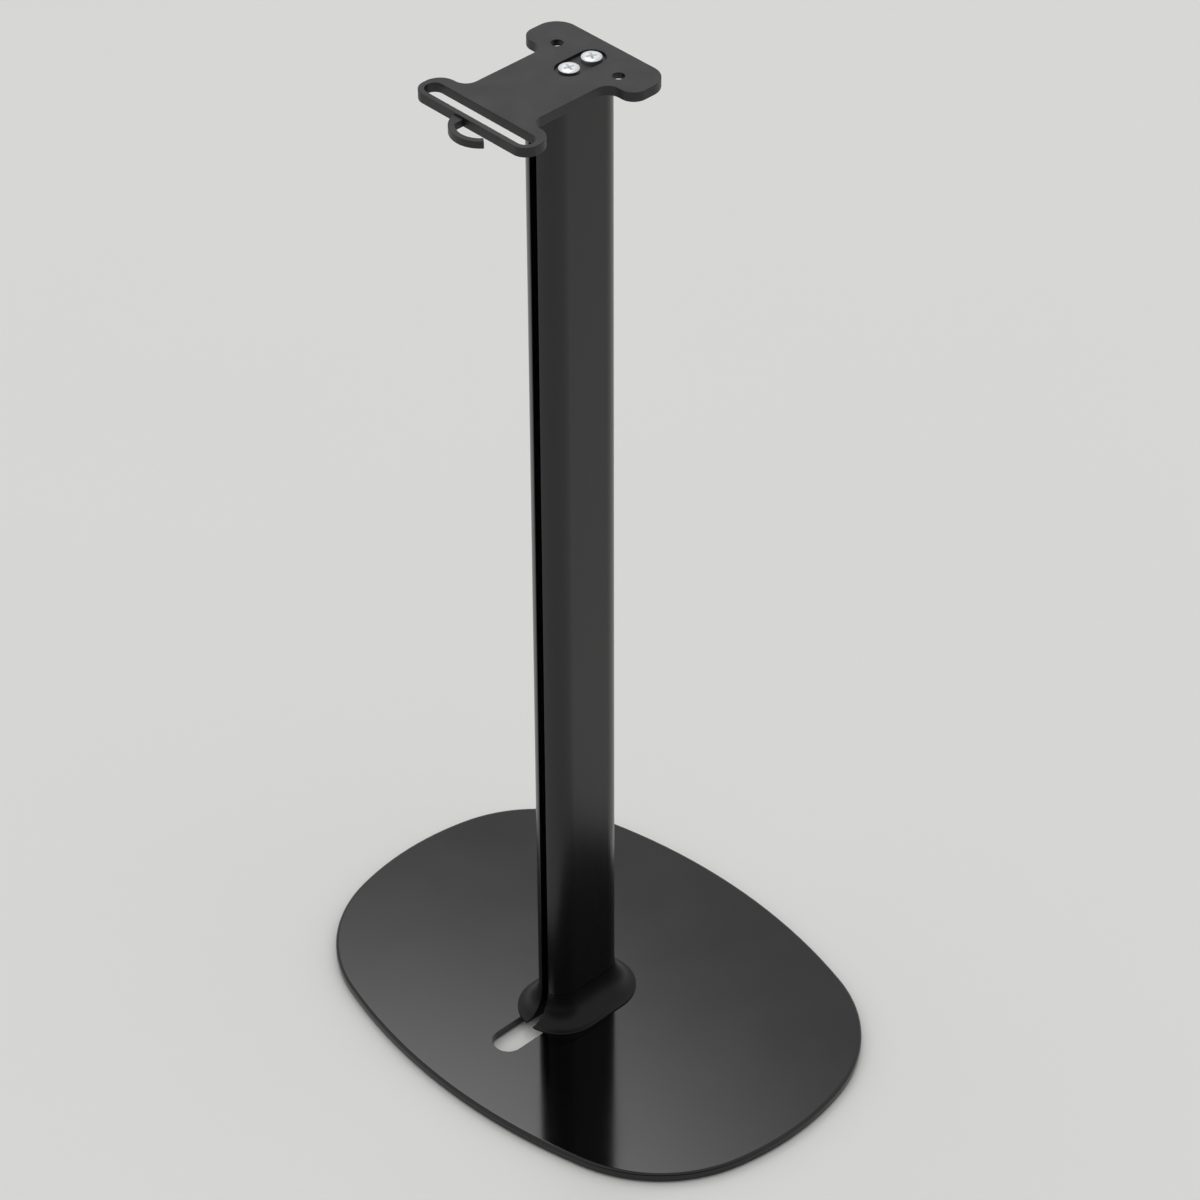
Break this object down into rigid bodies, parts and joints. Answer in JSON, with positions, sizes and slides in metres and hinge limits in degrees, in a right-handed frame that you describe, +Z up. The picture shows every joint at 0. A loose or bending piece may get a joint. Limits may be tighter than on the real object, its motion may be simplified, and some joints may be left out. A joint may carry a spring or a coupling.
{
  "type": "speaker stand",
  "caption": "Floor stand for a small speaker: wide rounded base plate, slim column with a rear cable channel, and a flat screw-on top plate with a cable hook.",
  "frame": {"origin": "on the floor, under the middle of the base plate's outline", "axes": "+Z up along the column; -Y is the front; +Y is the rear, with the cable channel, the base slot, the long slot and the hook; X runs along the base plate's width"},
  "size_m": [0.364, 0.263, 0.7011],
  "materials": {
    "gloss_black_steel": "gloss powder coat",
    "satin_black_steel": "fine satin powder coat",
    "black_aluminium": "black satin coat",
    "black_moulding": "fine moulded satin",
    "zinc_steel": "bright zinc plate",
    "black_steel": "black oxide",
    "rubber": "matte"
  },
  "bodies": {
    "root": {"base_plate": "gloss_black_steel", "foot_pad_front_left": "rubber", "foot_pad_front_right": "rubber", "foot_pad_rear_left": "rubber", "foot_pad_rear_right": "rubber", "column": "black_aluminium", "base_collar": "black_moulding", "base_screw_front": "black_steel", "base_screw_rear": "black_steel", "top_plate": "satin_black_steel", "top_screw_front": "zinc_steel", "top_screw_rear": "zinc_steel"}
  },
  "joints": []
}
